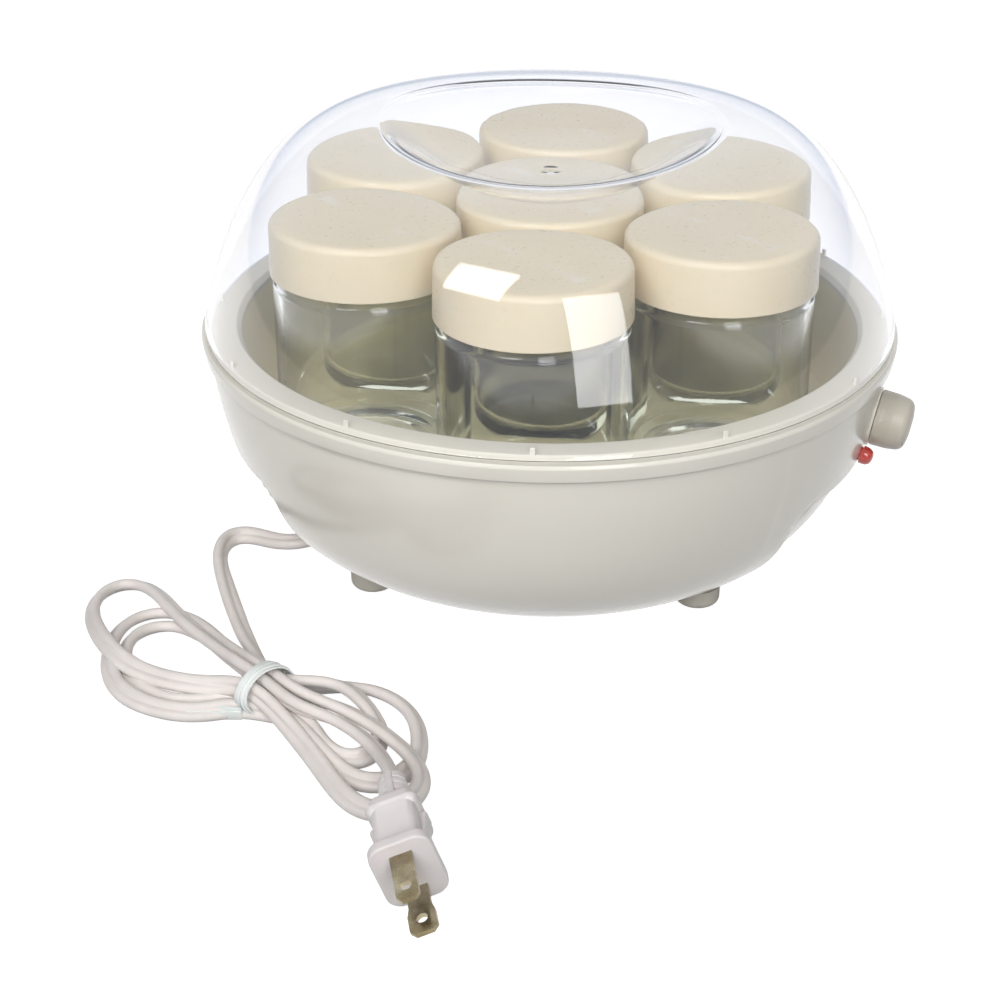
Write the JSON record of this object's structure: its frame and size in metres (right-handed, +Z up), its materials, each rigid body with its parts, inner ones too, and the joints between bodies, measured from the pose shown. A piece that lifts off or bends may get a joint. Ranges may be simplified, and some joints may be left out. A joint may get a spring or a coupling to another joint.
{
  "type": "yogurt maker",
  "caption": "Round electric yogurt maker: heated bowl base holding capped glass jars in a ring round one more, under a clear dished dome lid, with dial, pilot lamp and tied mains lead.",
  "frame": {"origin": "on the table, under the middle of the base's outline with its dial; the bowl's own axis stands 3.1 mm towards -X of it", "axes": "+Z up; the front faces -Y; the dial and pilot lamp are on the +X side and the mains lead leaves on the -X side"},
  "size_m": [0.2726, 0.3662, 0.1483],
  "materials": {
    "shell_cream": "smooth semi-gloss moulding",
    "tray_beige": "smooth moulding",
    "lid_clear": "polished clear",
    "jar_glass": "clear pressed glass",
    "cap_cream": "smooth satin moulding",
    "foot_rubber": "matt",
    "lamp_red": "translucent red, polished",
    "steel": "plain",
    "aluminium": "rolled sheet",
    "dark_plastic": "plain",
    "nylon": "natural nylon",
    "cord_white": "soft vinyl",
    "brass": "nickel-dulled brass"
  },
  "bodies": {
    "base": {"outer_shell": "shell_cream", "bottom_cover": "shell_cream", "inner_tray": "tray_beige", "foot_1": "foot_rubber", "foot_2": "foot_rubber", "foot_3": "foot_rubber", "foot_4": "foot_rubber", "base_screw_1": "steel", "base_screw_2": "steel", "base_screw_3": "steel", "lamp_lens": "lamp_red", "lamp_clip": "steel", "heater_plate": "aluminium", "heating_element": "steel", "element_bar": "steel", "bar_screw": "steel", "thermostat": "dark_plastic", "thermal_fuse": "steel", "terminal_block": "nylon", "live_wire": "dark_plastic", "neutral_wire": "cord_white", "lamp_wire": "cord_white", "cord_clamp": "nylon", "cord_sleeve": "cord_white", "cord_lead": "cord_white", "cord_hank": "cord_white", "cord_tie": "cord_white", "plug_sleeve": "cord_white", "plug_body": "cord_white", "plug_blade_1": "brass", "plug_blade_2": "brass"},
    "lid": {"lid": "lid_clear"},
    "dial": {"dial_knob": "shell_cream", "dial_spindle": "steel", "dial_clip": "steel"},
    "jar_1_body": {"jar_1": "jar_glass"},
    "cap_1_body": {"jar_cap_1": "cap_cream"},
    "jar_2_body": {"jar_2": "jar_glass"},
    "cap_2_body": {"jar_cap_2": "cap_cream"},
    "jar_3_body": {"jar_3": "jar_glass"},
    "cap_3_body": {"jar_cap_3": "cap_cream"},
    "jar_4_body": {"jar_4": "jar_glass"},
    "cap_4_body": {"jar_cap_4": "cap_cream"},
    "jar_5_body": {"jar_5": "jar_glass"},
    "cap_5_body": {"jar_cap_5": "cap_cream"},
    "jar_6_body": {"jar_6": "jar_glass"},
    "cap_6_body": {"jar_cap_6": "cap_cream"},
    "jar_7_body": {"jar_7": "jar_glass"},
    "cap_7_body": {"jar_cap_7": "cap_cream"}
  },
  "joints": [
    {"name": "lid_lift", "type": "slide", "parent": "base", "child": "lid", "axis": [0, 0, 1], "range_m": [0, 0.3]},
    {"name": "dial_turn", "type": "hinge", "parent": "base", "child": "dial", "pos_m": [0.109, -0.02383, 0.057], "axis": [0.9633, -0.2048, -0.1736], "range_deg": [-150, 150]},
    {"name": "jar_1_lift", "type": "slide", "parent": "base", "child": "jar_1_body", "axis": [0, 0, 1], "range_m": [0, 0.1]},
    {"name": "cap_1_lift", "type": "slide", "parent": "jar_1_body", "child": "cap_1_body", "axis": [0, 0, 1], "range_m": [0, 0.05]},
    {"name": "jar_2_lift", "type": "slide", "parent": "base", "child": "jar_2_body", "axis": [0, 0, 1], "range_m": [0, 0.1]},
    {"name": "cap_2_lift", "type": "slide", "parent": "jar_2_body", "child": "cap_2_body", "axis": [0, 0, 1], "range_m": [0, 0.05]},
    {"name": "jar_3_lift", "type": "slide", "parent": "base", "child": "jar_3_body", "axis": [0, 0, 1], "range_m": [0, 0.1]},
    {"name": "cap_3_lift", "type": "slide", "parent": "jar_3_body", "child": "cap_3_body", "axis": [0, 0, 1], "range_m": [0, 0.05]},
    {"name": "jar_4_lift", "type": "slide", "parent": "base", "child": "jar_4_body", "axis": [0, 0, 1], "range_m": [0, 0.1]},
    {"name": "cap_4_lift", "type": "slide", "parent": "jar_4_body", "child": "cap_4_body", "axis": [0, 0, 1], "range_m": [0, 0.05]},
    {"name": "jar_5_lift", "type": "slide", "parent": "base", "child": "jar_5_body", "axis": [0, 0, 1], "range_m": [0, 0.1]},
    {"name": "cap_5_lift", "type": "slide", "parent": "jar_5_body", "child": "cap_5_body", "axis": [0, 0, 1], "range_m": [0, 0.05]},
    {"name": "jar_6_lift", "type": "slide", "parent": "base", "child": "jar_6_body", "axis": [0, 0, 1], "range_m": [0, 0.1]},
    {"name": "cap_6_lift", "type": "slide", "parent": "jar_6_body", "child": "cap_6_body", "axis": [0, 0, 1], "range_m": [0, 0.05]},
    {"name": "jar_7_lift", "type": "slide", "parent": "base", "child": "jar_7_body", "axis": [0, 0, 1], "range_m": [0, 0.1]},
    {"name": "cap_7_lift", "type": "slide", "parent": "jar_7_body", "child": "cap_7_body", "axis": [0, 0, 1], "range_m": [0, 0.05]}
  ],
  "couplings": [
    {"joint": "jar_1_lift", "follows": "lid_lift", "ratio": 0.33333},
    {"joint": "cap_1_lift", "follows": "lid_lift", "ratio": 0.16667},
    {"joint": "jar_2_lift", "follows": "lid_lift", "ratio": 0.33333},
    {"joint": "cap_2_lift", "follows": "lid_lift", "ratio": 0.16667},
    {"joint": "jar_3_lift", "follows": "lid_lift", "ratio": 0.33333},
    {"joint": "cap_3_lift", "follows": "lid_lift", "ratio": 0.16667},
    {"joint": "jar_4_lift", "follows": "lid_lift", "ratio": 0.33333},
    {"joint": "cap_4_lift", "follows": "lid_lift", "ratio": 0.16667},
    {"joint": "jar_5_lift", "follows": "lid_lift", "ratio": 0.33333},
    {"joint": "cap_5_lift", "follows": "lid_lift", "ratio": 0.16667},
    {"joint": "jar_6_lift", "follows": "lid_lift", "ratio": 0.33333},
    {"joint": "cap_6_lift", "follows": "lid_lift", "ratio": 0.16667},
    {"joint": "jar_7_lift", "follows": "lid_lift", "ratio": 0.33333},
    {"joint": "cap_7_lift", "follows": "lid_lift", "ratio": 0.16667}
  ]
}
